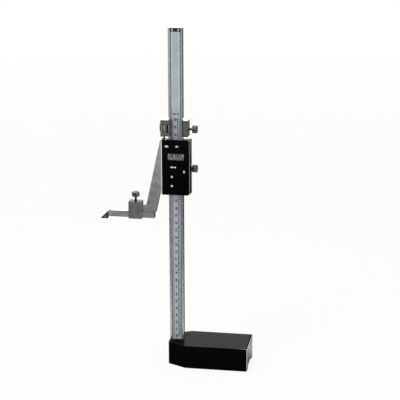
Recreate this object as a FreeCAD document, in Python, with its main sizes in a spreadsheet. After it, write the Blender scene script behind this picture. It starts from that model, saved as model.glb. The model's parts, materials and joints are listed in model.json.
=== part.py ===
import FreeCAD, Part
import math
import os
import re
import Sketcher

# Digital height gauge: a beam on a heavy base, a slider with a scriber, and a fine
# adjustment carriage above it. Millimetres. X runs along the base, Y away from the
# front, Z up. The origin is on the base's underside, below the middle of the beam.

SIZES = {
    # beam and scale
    "beam_width": 19.0,
    "beam_depth": 8.0,
    "beam_top": 456.2,
    "groove_width": 14.0,
    "groove_shift": 0.5,
    "groove_depth": 1.0,
    "strip_width": 11.6,
    "strip_thickness": 0.4,
    "stop_height": 4.7,
    "stop_proud": 0.6,
    "stop_screw_radius": 0.8,
    "stop_screw_head_radius": 1.4,
    "stop_screw_head_height": 0.5,
    "stop_screw_length": 4.2,
    "stop_screw_spread": 8.0,
    "stop_socket_radius": 0.65,
    "stop_socket_depth": 0.3,
    # base
    "base_right": 99.1,
    "base_width": 55.8,
    "base_height": 32.0,
    "nose_length": 24.7,
    "nose_width": 30.2,
    "socket_floor": 6.0,
    "relief_depth": 5.0,
    "relief_start": 22.0,
    "rail_width": 9.5,
    "column_screw_low": 13.0,
    "column_screw_pitch": 11.5,
    "column_screw_radius": 2.5,
    "column_head_radius": 4.25,
    "column_head_height": 5.0,
    "column_socket_radius": 2.3,
    "column_socket_depth": 2.5,
    "column_bore_depth": 16.0,
    "column_thread_depth": 6.0,
    # clearances
    "slide_gap": 0.1,
    "thread_gap": 0.05,
    "screw_gap": 0.25,
    "seat_gap": 0.05,
    # slider frame and arm
    "slider_bottom": 237.1,
    "slider_height": 74.5,
    "frame_beside_left": 8.3,
    "frame_beside_right": 10.5,
    "front_web": 1.0,
    "window_margin": 8.0,
    "arm_thickness": 8.0,
    "arm_top_left": 20.8,
    "arm_top_drop": 3.3,
    "arm_lean": 0.2166,
    "arm_heel": 27.3,
    "arm_overlap": 1.0,
    "foot_bottom": 209.4,
    "foot_height": 9.5,
    "foot_end": 62.0,
    "foot_fillet": 2.5,
    "plate_thickness": 2.4,
    "plate_margin": 0.5,
    "plate_screw_radius": 1.0,
    "plate_head_radius": 1.9,
    "plate_head_height": 1.2,
    "plate_screw_length": 4.6,
    "plate_socket_depth": 0.7,
    "hole_spare": 0.5,
    "plate_screw_rise": 14.0,
    "plate_screw_drop": 5.0,
    "screw_column_left": 13.4,
    "screw_column_right": 16.2,
    "gib_thickness": 1.0,
    "gib_play": 0.2,
    "gib_margin": 3.0,
    "gib_screw_radius": 1.25,
    "gib_screw_sunk": 0.4,
    "gib_low_share": 0.2703,
    "gib_pitch_share": 0.4054,
    "gib_socket_radius": 0.7,
    "gib_socket_depth": 1.5,
    # front cover and what it holds; a share is a part of the slider's height
    "cover_beside_left": 8.5,
    "cover_chamfer": 1.3,
    "cover_beside_right": 10.5,
    "cover_depth": 8.9,
    "cover_wall": 1.4,
    "cover_corner": 3.0,
    "boss_radius": 2.2,
    "boss_low": 5.0,
    "boss_share": 0.7703,
    "cover_screw_radius": 0.9,
    "cover_screw_bite": 5.0,
    "lcd_left": 9.3,
    "lcd_right": 12.9,
    "lcd_share": 0.6297,
    "lcd_height": 9.0,
    "lens_gap": 0.1,
    "lens_sunk": 0.2,
    "panel_margin_x": 1.0,
    "panel_margin_z": 2.6,
    "panel_thickness": 2.2,
    "strip_connector_height": 2.0,
    "board_thickness": 1.0,
    "board_margin": 0.4,
    "board_boss_gap": 0.3,
    "button_proud": 0.4,
    "button_gap": 0.2,
    "button_flange": 0.7,
    "button_flange_thickness": 0.6,
    "button_stem_radius": 1.0,
    "button_travel": 0.45,
    "unit_across": -10.2,
    "unit_share": 0.8811,
    "zero_across": 3.4,
    "zero_share": 0.8811,
    "power_across": -1.6,
    "power_share": 0.5054,
    "preset_across": 12.7,
    "preset_share": 0.4284,
    "up_across": -3.5,
    "up_share": 0.3324,
    "down_across": -3.5,
    "down_share": 0.1676,
    "key_half_width": 3.8,
    "key_half_height": 2.0,
    "power_half_width": 5.0,
    "round_key_radius": 2.6,
    "switch_radius": 1.6,
    "switch_height": 1.2,
    "door_left": 1.7,
    "door_width": 12.2,
    "door_height": 25.4,
    "door_gap": 0.1,
    "door_face": 0.8,
    "door_tongue": 0.8,
    "cell_radius": 5.8,
    "cell_thickness": 5.4,
    "cell_rise": 15.3,
    "contact_thickness": 0.4,
    "contact_half_width": 4.0,
    # fine adjustment
    "carriage_gap": 2.5,
    "carriage_height": 22.3,
    "carriage_beside_left": 9.75,
    "carriage_beside_right": 7.4,
    "carriage_front": 9.0,
    "carriage_back": 7.0,
    "carriage_lip_left": 3.1,
    "carriage_lip_right": 0.4,
    "rod_beside": 6.2,
    "rod_forward": 2.2,
    "rod_radius": 1.25,
    "rod_clearance": 0.3,
    "rod_bite": 9.0,
    "rod_reach": 21.0,
    "rod_well": 21.5,
    "nut_radius": 5.8,
    "nut_height": 10.0,
    "nut_play": 0.15,
    "nut_rise": 5.85,
    "nut_chamfer": 0.5,
    "nut_window_overlap": 0.9,
    # thumb screws and their shoes
    "thumb_radius": 5.15,
    "thumb_length": 6.7,
    "thumb_chamfer": 0.6,
    "thumb_beside": 11.9,
    "thumb_screw_radius": 1.5,
    "shoe_radius": 2.5,
    "shoe_thickness": 1.4,
    "shoe_travel": 1.4,
    "shoe_bore_gap": 0.1,
    "shoe_spare": 0.2,
    "carriage_clamp_rise": 9.2,
    "clamp_share": 0.45,
    # scriber and its clamp
    "scriber_right": 29.2,
    "scriber_left": 92.6,
    "scriber_height": 8.2,
    "scriber_thickness": 8.0,
    "tip_reach": 10.0,
    "tip_drop": 3.2,
    "tip_heel": 9.4,
    "tip_nick": 2.0,
    "clamp_left": 64.0,
    "clamp_right": 46.2,
    "clamp_wall": 2.0,
    "clamp_floor": 1.2,
    "clamp_roof": 2.8,
    "clamp_side_gap": 0.2,
    "clamp_under_gap": 0.1,
    "clamp_lift": 1.4,
    "pad_radius": 3.0,
    "pad_thickness": 0.8,
    "clamp_knob_radius": 5.15,
    "clamp_knob_height": 6.3,
    "clamp_knob_rise": 6.3,
    "clamp_knob_chamfer": 0.6,
}

# Sizes that follow from the driving ones, each in terms of the names above it.
DERIVED = {
    "beam_half": "beam_width/2",
    "slider_left": "beam_half + frame_beside_left",
    "slider_right": "beam_half + frame_beside_right",
    "cover_left": "beam_half + cover_beside_left",
    "cover_right": "beam_half + cover_beside_right",
    "carriage_left": "beam_half + carriage_beside_left",
    "carriage_right": "beam_half + carriage_beside_right",
    "rod_inset": "beam_half + rod_beside",
    "thumb_face": "beam_half + thumb_beside",
    "nut_window_inner": "beam_half - nut_window_overlap",
    "beam_face": "beam_depth/2",
    "way_half": "beam_half + slide_gap",
    "way_face": "beam_face + slide_gap",
    "groove_left": "groove_width/2 - groove_shift",
    "groove_right": "groove_width/2 + groove_shift",
    "base_half": "base_width/2",
    "bore_floor": "base_half - column_bore_depth",
    "slider_top": "slider_bottom + slider_height",
    "frame_front": "way_face + front_web",
    "plate_back": "way_face + plate_thickness",
    "arm_face": "arm_thickness/2",
    "arm_top": "slider_top - arm_top_drop",
    "foot_top": "foot_bottom + foot_height",
    "arm_bend": "arm_top_left + arm_lean*(arm_top - foot_top)",
    "arm_root": "arm_heel - arm_lean*(slider_bottom - foot_bottom)",
    "plate_seat": "plate_back - plate_head_height",
    "gib_outer": "way_half + gib_thickness",
    "gib_recess": "gib_outer + gib_play",
    "cover_front": "frame_front + cover_depth",
    "cover_inner": "cover_front - cover_wall",
    "board_front": "frame_front + board_thickness",
    "panel_back": "cover_inner - panel_thickness",
    "switch_top": "board_front + switch_height",
    "boss_high": "boss_share*slider_height",
    "gib_screw_low": "gib_low_share*slider_height",
    "gib_screw_pitch": "gib_pitch_share*slider_height",
    "slider_clamp_rise": "clamp_share*slider_height",
    "lcd_bottom": "slider_bottom + lcd_share*slider_height",
    "unit_rise": "unit_share*slider_height",
    "zero_rise": "zero_share*slider_height",
    "power_rise": "power_share*slider_height",
    "preset_rise": "preset_share*slider_height",
    "up_rise": "up_share*slider_height",
    "down_rise": "down_share*slider_height",
    "lcd_top": "lcd_bottom + lcd_height",
    "door_right": "door_left + door_width",
    "door_top": "slider_bottom + door_height",
    "cell_x": "door_left + door_width/2",
    "cell_z": "slider_bottom + cell_rise",
    "contact_front": "board_front + contact_thickness",
    "cell_front": "contact_front + cell_thickness",
    "carriage_bottom": "slider_top + carriage_gap",
    "carriage_top": "carriage_bottom + carriage_height",
    "nut_bottom": "carriage_bottom + nut_rise",
    "nut_top": "nut_bottom + nut_height",
    "thumb_end": "thumb_face + thumb_length",
    "carriage_clamp_z": "carriage_bottom + carriage_clamp_rise",
    "slider_clamp_z": "slider_bottom + slider_clamp_rise",
    "scriber_top": "foot_bottom - seat_gap",
    "scriber_bottom": "scriber_top - scriber_height",
    "tip_bottom": "scriber_bottom - tip_drop",
    "tip_point": "scriber_left + tip_reach",
    "tip_top": "scriber_top - tip_nick",
    "nick_left": "scriber_left - tip_nick*tip_reach/(tip_top - tip_bottom)",
    "clamp_bottom": "scriber_bottom - clamp_under_gap - clamp_floor",
    "clamp_hollow_top": "foot_top + clamp_lift",
    "clamp_top": "clamp_hollow_top + clamp_roof",
    "clamp_half": "scriber_thickness/2 + clamp_side_gap + clamp_wall",
    "clamp_middle": "(clamp_left + clamp_right)/2",
    "pad_bottom": "foot_top + seat_gap",
    "pad_top": "pad_bottom + pad_thickness",
    "clamp_knob_bottom": "clamp_top + clamp_knob_rise",
}

# Each push button with its half width and half height.
BUTTONS = {
    "unit": ("key_half_width", "key_half_height"),
    "zero": ("key_half_width", "key_half_height"),
    "power": ("power_half_width", "key_half_height"),
    "preset": ("round_key_radius", "round_key_radius"),
    "up": ("round_key_radius", "round_key_radius"),
    "down": ("round_key_radius", "round_key_radius"),
}

slender = 10    # an edge this many times longer one way than the others runs that way
touch = 0.01    # places nearer than this are the same

os.makedirs("parts", exist_ok=True)
doc = FreeCAD.newDocument("height_gauge")
nodes = []


def make_sheet():
    sheet = doc.addObject("Spreadsheet::Sheet", "dims")
    for row, (name, value) in enumerate(SIZES.items(), 1):
        sheet.set(f"A{row}", name)
        sheet.set(f"B{row}", str(value))
        sheet.setAlias(f"B{row}", name)
    doc.recompute()


def bound(text):
    """Write a size formula in terms of the driving sizes."""
    def cell(match):
        name = match.group()
        if name in DERIVED:
            return f"({bound(DERIVED[name])})"
        return f"dims.{name}"
    return re.sub(r"[a-z][a-z_]+", cell, text)


def rectangle(low_a, high_a, low_b, high_b):
    return [(low_a, low_b), (high_a, low_b), (high_a, high_b), (low_a, high_b)]


def keep(piece, label):
    piece.Label = label
    nodes.append(piece)
    return piece


def new_body(label):
    return keep(doc.addObject("PartDesign::Body", label), label)


def new_sketch(body, role, shift):
    plane = next(f for f in body.Origin.OriginFeatures if f.Role == role)
    sketch = body.newObject("Sketcher::SketchObject", f"{body.Name}_outline")
    sketch.AttachmentSupport = [(plane, "")]
    sketch.MapMode = "FlatFace"
    for axis, text in shift.items():
        sketch.setExpression(f"AttachmentOffset.Base.{axis}", bound(text))
    return sketch


def fix_point(sketch, geometry, point, at, start):
    for kind, text, value in zip(("DistanceX", "DistanceY"), at, start):
        number = sketch.addConstraint(
            Sketcher.Constraint(kind, -1, 1, geometry, point, value))
        sketch.setExpression(f"Constraints[{number}]", bound(text))


def draw_polygon(sketch, corners):
    count = len(corners)
    first = sketch.GeometryCount
    starts = []
    for index in range(count):
        angle = math.tau * index / count
        starts.append(FreeCAD.Vector(math.cos(angle), math.sin(angle), 0))
    for index in range(count):
        sketch.addGeometry(Part.LineSegment(starts[index], starts[(index + 1) % count]))
    for index in range(count):
        sketch.addConstraint(Sketcher.Constraint(
            "Coincident", first + index, 2, first + (index + 1) % count, 1))
    for index, corner in enumerate(corners):
        fix_point(sketch, first + index, 1, corner, starts[index][:2])


def draw_circle(sketch, across, up, radius):
    circle = Part.Circle(FreeCAD.Vector(1, 1, 0), FreeCAD.Vector(0, 0, 1), 1)
    geometry = sketch.addGeometry(circle)
    fix_point(sketch, geometry, 3, (across, up), (1, 1))
    number = sketch.addConstraint(Sketcher.Constraint("Radius", geometry, 1.0))
    sketch.setExpression(f"Constraints[{number}]", bound(radius))


def add_feature(body, kind, role, start, end, polygons, circles):
    """Pad or pocket that spans start to end along the plane's world axis."""
    if role == "XZ_Plane":
        level = f"-({end})" if kind == "Pad" else f"-({start})"
    else:
        level = start if kind == "Pad" else end
    sketch = new_sketch(body, role, {"z": level})
    for corners in polygons:
        draw_polygon(sketch, corners)
    for circle in circles:
        draw_circle(sketch, *circle)
    feature = body.newObject(f"PartDesign::{kind}", f"{body.Name}_{kind.lower()}_step")
    feature.Profile = sketch
    feature.setExpression("Length", bound(f"({end}) - ({start})"))
    return feature


def pad(body, role, start, end, polygons=(), circles=()):
    return add_feature(body, "Pad", role, start, end, polygons, circles)


def pocket(body, role, start, end, polygons=(), circles=()):
    return add_feature(body, "Pocket", role, start, end, polygons, circles)


def revolve(body, shift, axis, corners):
    sketch = new_sketch(body, "XZ_Plane", shift)
    draw_polygon(sketch, corners)
    turn = body.newObject("PartDesign::Revolution", f"{body.Name}_turn")
    turn.Profile = sketch
    turn.ReferenceAxis = (sketch, [axis])
    turn.Angle = 360
    return turn


def fillet(body, feature, wanted, radius):
    """Round the edges of a feature that pass a test on their middle point."""
    doc.recompute()
    names = []
    for number, edge in enumerate(feature.Shape.Edges, 1):
        if wanted(edge):
            names.append(f"Edge{number}")
    rounded = body.newObject("PartDesign::Fillet", f"{body.Name}_fillet")
    rounded.Base = (feature, names)
    rounded.setExpression("Radius", bound(radius))
    return rounded


def along_y(edge):
    box = edge.BoundBox
    return box.YLength > slender * (box.XLength + box.ZLength)


def place(piece, base):
    for axis, text in zip("xyz", base):
        piece.setExpression(f"Placement.Base.{axis}", bound(text))


def block(name, low_x, high_x, low_y, high_y, low_z, high_z):
    box = doc.addObject("Part::Box", name)
    box.setExpression("Length", bound(f"({high_x}) - ({low_x})"))
    box.setExpression("Width", bound(f"({high_y}) - ({low_y})"))
    box.setExpression("Height", bound(f"({high_z}) - ({low_z})"))
    place(box, (low_x, low_y, low_z))
    return box


def at_axis(axis, along, first, second):
    """World point at a distance along an axis, given its other two coordinates in order."""
    point = {"X": (along, first, second), "Y": (first, along, second),
             "Z": (first, second, along)}
    return point[axis]


def turned(piece, axis):
    ends = {"X": (1, 0, 0), "Y": (0, 1, 0), "Z": (0, 0, 1)}
    piece.Placement.Rotation = FreeCAD.Rotation(
        FreeCAD.Vector(0, 0, 1), FreeCAD.Vector(*ends[axis]))


def rod(name, axis, radius, start, end, first, second):
    cylinder = doc.addObject("Part::Cylinder", name)
    turned(cylinder, axis)
    cylinder.setExpression("Radius", bound(radius))
    cylinder.setExpression("Height", bound(f"({end}) - ({start})"))
    place(cylinder, at_axis(axis, start, first, second))
    return cylinder


def hexagon(name, axis, radius, start, end, first, second):
    prism = doc.addObject("Part::Prism", name)
    prism.Polygon = 6
    turned(prism, axis)
    prism.setExpression("Circumradius", bound(radius))
    prism.setExpression("Height", bound(f"({end}) - ({start})"))
    place(prism, at_axis(axis, start, first, second))
    return prism


def fuse(name, pieces):
    joined = doc.addObject("Part::MultiFuse", name)
    joined.Shapes = pieces
    return joined


def cut(name, base, tool):
    result = doc.addObject("Part::Cut", name)
    result.Base = base
    result.Tool = tool
    return result


def group(label, pieces):
    together = doc.addObject("Part::Compound", label)
    together.Links = pieces
    return keep(together, label)


def cap_screw(name, side, seat, across, up, head, shank, socket):
    """Socket screw along Y whose head stands off the seat towards the given side."""
    head_radius, head_height = head
    shank_radius, length = shank
    socket_radius, socket_depth = socket
    if side == "back":
        head_span = (seat, f"{seat} + {head_height}")
        shank_span = (f"{seat} - ({length})", seat)
        socket_span = (f"{seat} + {head_height} - {socket_depth}", f"{seat} + {head_height}")
    else:
        head_span = (f"{seat} - {head_height}", seat)
        shank_span = (seat, f"{seat} + {length}")
        socket_span = (f"{seat} - {head_height}", f"{seat} - {head_height} + {socket_depth}")
    solid = fuse(f"{name}_solid", [
        rod(f"{name}_head", "Y", head_radius, *head_span, across, up),
        rod(f"{name}_shank", "Y", shank_radius, *shank_span, across, up)])
    hollow = hexagon(f"{name}_socket", "Y", socket_radius, *socket_span, across, up)
    return cut(name, solid, hollow)


def make_base():
    body = new_body("base")
    nose_half = "nose_width/2"
    nose_back = "nose_length - beam_half"
    pad(body, "XY_Plane", "0", "base_height", [[
        ("-beam_half", f"-{nose_half}"), (nose_back, "-base_half"),
        ("base_right", "-base_half"), ("base_right", "base_half"),
        (nose_back, "base_half"), ("-beam_half", nose_half)]])
    pocket(body, "XY_Plane", "socket_floor", "base_height", [rectangle(
        "-(beam_half + hole_spare)", "beam_half", "-beam_face", "beam_face")])
    rail = "base_half - rail_width"
    pocket(body, "XY_Plane", "0", "relief_depth", [rectangle(
        "relief_start", "base_right + hole_spare", f"-({rail})", rail)])
    places = column_screw_places()
    pocket(body, "XZ_Plane", "beam_face - hole_spare", "base_half",
           circles=[(x, z, "column_screw_radius + screw_gap") for x, z in places])
    pocket(body, "XZ_Plane", "bore_floor", "base_half",
           circles=[(x, z, "column_head_radius + screw_gap") for x, z in places])


def column_screw_places():
    return [("0", "column_screw_low"), ("0", "column_screw_low + column_screw_pitch")]


def stop_screw_places():
    height = "beam_top - stop_height/2"
    return [("groove_shift - stop_screw_spread/2", height),
            ("groove_shift + stop_screw_spread/2", height)]


def make_column():
    body = new_body("column")
    pad(body, "XY_Plane", "socket_floor", "beam_top", [rectangle(
        "-beam_half", "beam_half", "-beam_face", "beam_face")])
    pocket(body, "XY_Plane", "base_height", "beam_top", [rectangle(
        "-groove_left", "groove_right", "-(beam_face + hole_spare)",
        "-(beam_face - groove_depth)")])
    pocket(body, "XZ_Plane", "beam_face - column_thread_depth", "beam_face",
           circles=[(x, z, "column_screw_radius + thread_gap")
                    for x, z in column_screw_places()])
    pocket(body, "XZ_Plane", "-beam_face", "-beam_face - stop_proud + stop_screw_length + hole_spare",
           circles=[(x, z, "stop_screw_radius + thread_gap") for x, z in stop_screw_places()])


def make_column_trim():
    groove_floor = "-(beam_face - groove_depth)"
    strip = block("strip", "groove_shift - strip_width/2", "groove_shift + strip_width/2",
                  f"{groove_floor} - strip_thickness", groove_floor,
                  "base_height", "beam_top - stop_height")
    keep(strip, "scale_strip")
    stop = new_body("end_stop")
    pad(stop, "XZ_Plane", "-(beam_face + stop_proud)", groove_floor, [rectangle(
        "-groove_left", "groove_right", "beam_top - stop_height", "beam_top")])
    pocket(stop, "XZ_Plane", "-(beam_face + stop_proud)", groove_floor,
           circles=[(x, z, "stop_screw_radius + thread_gap") for x, z in stop_screw_places()])
    group("end_stop_screws", [
        cap_screw(f"stop_screw_{number}", "front", "-(beam_face + stop_proud)", x, z,
                  ("stop_screw_head_radius", "stop_screw_head_height"),
                  ("stop_screw_radius", "stop_screw_length"),
                  ("stop_socket_radius", "stop_socket_depth"))
        for number, (x, z) in enumerate(stop_screw_places())])
    group("column_screws", [
        cap_screw(f"column_screw_{number}", "back", "bore_floor", x, z,
                  ("column_head_radius", "column_head_height"),
                  ("column_screw_radius", "bore_floor - beam_face + column_thread_depth - hole_spare"),
                  ("column_socket_radius", "column_socket_depth"))
        for number, (x, z) in enumerate(column_screw_places())])


def side_screw_hole(body, height, inner, shoe_face, outer):
    """Pocket for the brass shoe, then the thread out to the right side."""
    floor = f"{shoe_face} + shoe_thickness + shoe_travel + shoe_spare"
    pocket(body, "YZ_Plane", inner, floor,
           circles=[("0", height, "shoe_radius + shoe_bore_gap")])
    pocket(body, "YZ_Plane", inner, outer,
           circles=[("0", height, "thumb_screw_radius + thread_gap")])


def make_carriage():
    body = new_body("carriage_frame")
    pad(body, "XY_Plane", "carriage_bottom", "carriage_top", [[
        ("-carriage_left", "-carriage_front"),
        ("-(beam_half - carriage_lip_left)", "-carriage_front"),
        ("-(beam_half - carriage_lip_left)", "-way_face"),
        ("-way_half", "-way_face"), ("-way_half", "way_face"),
        ("way_half", "way_face"), ("way_half", "-way_face"),
        ("beam_half - carriage_lip_right", "-way_face"),
        ("beam_half - carriage_lip_right", "-carriage_front"),
        ("carriage_right", "-carriage_front"),
        ("carriage_right", "carriage_back"), ("-carriage_left", "carriage_back")]])
    pocket(body, "XZ_Plane", "-carriage_front", "way_face", [rectangle(
        "-(carriage_left + hole_spare)", "-nut_window_inner",
        "nut_bottom - nut_play", "nut_top + nut_play")])
    pocket(body, "XY_Plane", "carriage_bottom", "carriage_bottom + rod_well",
           circles=[("-rod_inset", "-rod_forward", "rod_radius + rod_clearance")])
    side_screw_hole(body, "carriage_clamp_z", "way_half", "way_half", "carriage_right")


def make_nut():
    body = new_body("fine_adjust_nut")
    bore = "rod_radius + thread_gap"
    revolve(body, {"x": "-rod_inset", "z": "rod_forward"}, "V_Axis", [
        (bore, "nut_bottom"), ("nut_radius - nut_chamfer", "nut_bottom"),
        ("nut_radius", "nut_bottom + nut_chamfer"),
        ("nut_radius", "nut_top - nut_chamfer"),
        ("nut_radius - nut_chamfer", "nut_top"), (bore, "nut_top")])


def make_thumb_screw(name, height, shoe_face):
    shoe = rod(f"{name}_pad", "X", "shoe_radius", shoe_face,
               f"{shoe_face} + shoe_thickness", "0", height)
    keep(shoe, f"{name}_shoe")
    body = new_body(f"{name}_screw")
    start = f"{shoe_face} + shoe_thickness + seat_gap"
    revolve(body, {"y": height}, "H_Axis", [
        (start, "0"), (start, "thumb_screw_radius"),
        ("thumb_face", "thumb_screw_radius"),
        ("thumb_face", "thumb_radius - thumb_chamfer"),
        ("thumb_face + thumb_chamfer", "thumb_radius"),
        ("thumb_end - thumb_chamfer", "thumb_radius"),
        ("thumb_end", "thumb_radius - thumb_chamfer"), ("thumb_end", "0")])


def plate_screw_places():
    heights = ("slider_bottom + plate_screw_rise", "slider_top - plate_screw_drop")
    return [(x, z) for x in ("-screw_column_left", "screw_column_right") for z in heights]


def cover_screw_places():
    heights = ("slider_bottom + boss_low", "slider_bottom + boss_high")
    return [(x, z) for x in ("-screw_column_left", "screw_column_right") for z in heights]


def gib_screw_heights():
    return ["slider_bottom + gib_screw_low",
            "slider_bottom + gib_screw_low + gib_screw_pitch"]


def make_slider_frame():
    body = new_body("slider_frame")
    pad(body, "XY_Plane", "slider_bottom", "slider_top", [[
        ("-slider_left", "-frame_front"), ("slider_right", "-frame_front"),
        ("slider_right", "way_face"), ("way_half", "way_face"),
        ("way_half", "-way_face"), ("-way_half", "-way_face"),
        ("-way_half", "way_face"), ("-slider_left", "way_face")]])
    arm = pad(body, "XZ_Plane", "-arm_face", "arm_face", [[
        ("-(slider_left - arm_overlap)", "slider_bottom"),
        ("-(slider_left - arm_overlap)", "arm_top"),
        ("-arm_top_left", "arm_top"), ("-arm_bend", "foot_top"),
        ("-foot_end", "foot_top"), ("-foot_end", "foot_bottom"),
        ("-arm_heel", "foot_bottom"), ("-arm_root", "slider_bottom")]])
    doc.recompute()
    foot_top = doc.getObject("dims").foot_bottom + doc.getObject("dims").foot_height
    foot_end = doc.getObject("dims").foot_end

    def inner_bend(edge):
        middle = edge.BoundBox.Center
        return along_y(edge) and abs(middle.z - foot_top) < touch and middle.x > touch - foot_end
    fillet(body, arm, inner_bend, "foot_fillet")
    pocket(body, "XZ_Plane", "-frame_front", "-way_face", [rectangle(
        "-groove_left", "groove_right",
        "slider_bottom + window_margin", "slider_top - window_margin")])
    pocket(body, "YZ_Plane", "way_half", "gib_recess", [rectangle(
        "-way_face", "way_face", "slider_bottom + gib_margin", "slider_top - gib_margin")])
    pocket(body, "XY_Plane", "slider_top - rod_bite", "slider_top",
           circles=[("-rod_inset", "-rod_forward", "rod_radius + thread_gap")])
    pocket(body, "XZ_Plane", "plate_seat - plate_screw_length - hole_spare", "way_face",
           circles=[(x, z, "plate_screw_radius + thread_gap") for x, z in plate_screw_places()])
    pocket(body, "XZ_Plane", "-frame_front", "way_face",
           circles=[(x, z, "cover_screw_radius + screw_gap") for x, z in cover_screw_places()])
    pocket(body, "YZ_Plane", "gib_recess", "slider_right",
           circles=[("0", z, "gib_screw_radius + thread_gap") for z in gib_screw_heights()])
    side_screw_hole(body, "slider_clamp_z", "gib_recess", "gib_outer + seat_gap",
                    "slider_right")


def make_slider_hardware():
    plate = new_body("slider_back_plate")
    pad(plate, "XZ_Plane", "way_face", "plate_back", [rectangle(
        "-slider_left + plate_margin", "slider_right - plate_margin",
        "slider_bottom + plate_margin", "slider_top - plate_margin")])
    pocket(plate, "XZ_Plane", "way_face", "plate_back",
           circles=[(x, z, "plate_screw_radius + screw_gap")
                    for x, z in plate_screw_places() + cover_screw_places()])
    pocket(plate, "XZ_Plane", "plate_seat", "plate_back",
           circles=[(x, z, "plate_head_radius + screw_gap")
                    for x, z in plate_screw_places() + cover_screw_places()])
    head = ("plate_head_radius", "plate_head_height")
    socket = ("plate_screw_radius", "plate_socket_depth")
    group("back_plate_screws", [
        cap_screw(f"plate_screw_{number}", "back", "plate_seat", x, z, head,
                  ("plate_screw_radius", "plate_screw_length"), socket)
        for number, (x, z) in enumerate(plate_screw_places())])
    group("cover_screws", [
        cap_screw(f"cover_screw_{number}", "back", "plate_seat", x, z, head,
                  ("cover_screw_radius", "plate_seat + frame_front + cover_screw_bite"), socket)
        for number, (x, z) in enumerate(cover_screw_places())])
    gib = block("gib", "way_half", "gib_outer", "-beam_face", "beam_face",
                "slider_bottom + gib_margin + hole_spare", "slider_top - gib_margin - hole_spare")
    keep(gib, "gib_strip")
    outer = "slider_right - gib_screw_sunk"
    group("gib_screws", [
        cut(f"gib_screw_{number}",
            rod(f"gib_screw_shank_{number}", "X", "gib_screw_radius", "gib_outer", outer, "0", z),
            hexagon(f"gib_screw_socket_{number}", "X", "gib_socket_radius",
                    f"{outer} - gib_socket_depth", outer, "0", z))
        for number, z in enumerate(gib_screw_heights())])
    keep(rod("adjust_rod", "Z", "rod_radius", "slider_top - rod_bite",
             "slider_top + rod_reach", "-rod_inset", "-rod_forward"), "fine_adjust_rod")


def oblong(name, half_width, half_height, front, back, across, up):
    """Pieces of a bar with round ends along X, or of a round bar where it is as wide as high."""
    if half_width == half_height:
        return [rod(f"{name}_round", "Y", half_height, front, back, across, up)]
    reach = f"({half_width} - {half_height})"
    return [
        rod(f"{name}_left", "Y", half_height, front, back, f"{across} - {reach}", up),
        rod(f"{name}_right", "Y", half_height, front, back, f"{across} + {reach}", up),
        block(f"{name}_middle", f"{across} - {reach}", f"{across} + {reach}", front, back,
              f"{up} - {half_height}", f"{up} + {half_height}")]


def grown(half, margin):
    return f"({half} + {margin})"


def make_cover():
    body = doc.addObject("PartDesign::Body", "cover_shell")
    outside = pad(body, "XZ_Plane", "-cover_front", "-frame_front", [rectangle(
        "-cover_left", "cover_right", "slider_bottom", "slider_top")])
    fillet(body, outside, lambda edge: along_y(edge) and edge.BoundBox.Center.x > 0,
           "cover_corner")
    pocket(body, "XY_Plane", "slider_bottom", "slider_top", [[
        ("-cover_left - hole_spare", "-cover_front - hole_spare"),
        ("-cover_left + cover_chamfer + hole_spare", "-cover_front - hole_spare"),
        ("-cover_left - hole_spare", "-cover_front + cover_chamfer + hole_spare")]])
    pocket(body, "XZ_Plane", "-cover_inner", "-frame_front", [rectangle(
        "-cover_left + cover_wall", "cover_right - cover_wall",
        "slider_bottom + cover_wall", "slider_top - cover_wall")])
    pocket(body, "XZ_Plane", "-cover_front", "-cover_inner", [rectangle(
        "-lcd_left", "lcd_right", "lcd_bottom", "lcd_top")])
    pocket(body, "XZ_Plane", "-cover_front", "-(cover_front - door_face)", [rectangle(
        "door_left", "door_right", "slider_bottom - hole_spare", "door_top")])
    pocket(body, "XZ_Plane", "-(cover_front - door_face)", "-cover_inner", [rectangle(
        "door_left - door_tongue - door_gap", "door_right + door_tongue + door_gap",
        "slider_bottom - hole_spare", "door_top")])
    pad(body, "XZ_Plane", "-cover_inner", "-frame_front",
        circles=[(x, z, "boss_radius") for x, z in cover_screw_places()])
    pocket(body, "XZ_Plane", "-(frame_front + cover_screw_bite + hole_spare)", "-frame_front",
           circles=[(x, z, "cover_screw_radius + thread_gap") for x, z in cover_screw_places()])
    holes = []
    for name, (half_width, half_height) in BUTTONS.items():
        holes += oblong(f"{name}_hole", grown(half_width, "button_gap"),
                        grown(half_height, "button_gap"), "-(cover_front + hole_spare)",
                        "-(cover_inner - hole_spare)", f"{name}_across",
                        f"slider_bottom + {name}_rise")
    keep(cut("cover", body, fuse("button_holes", holes)), "front_cover")


def make_display():
    keep(block("lens", "-(lcd_left - lens_gap)", "lcd_right - lens_gap",
               "-(cover_front - lens_sunk)", "-cover_inner",
               "lcd_bottom + lens_gap", "lcd_top - lens_gap"), "lcd_lens")
    left = "-(lcd_left + panel_margin_x)"
    right = "lcd_right + panel_margin_x"
    low = "lcd_bottom - panel_margin_z"
    high = "lcd_top + panel_margin_z"
    keep(block("panel", left, right, "-cover_inner", "-panel_back", low, high), "lcd_panel")
    group("lcd_connector_strips", [
        block("connector_low", left, right, "-panel_back", "-board_front",
              low, f"{low} + strip_connector_height"),
        block("connector_high", left, right, "-panel_back", "-board_front",
              f"{high} - strip_connector_height", high)])


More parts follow.
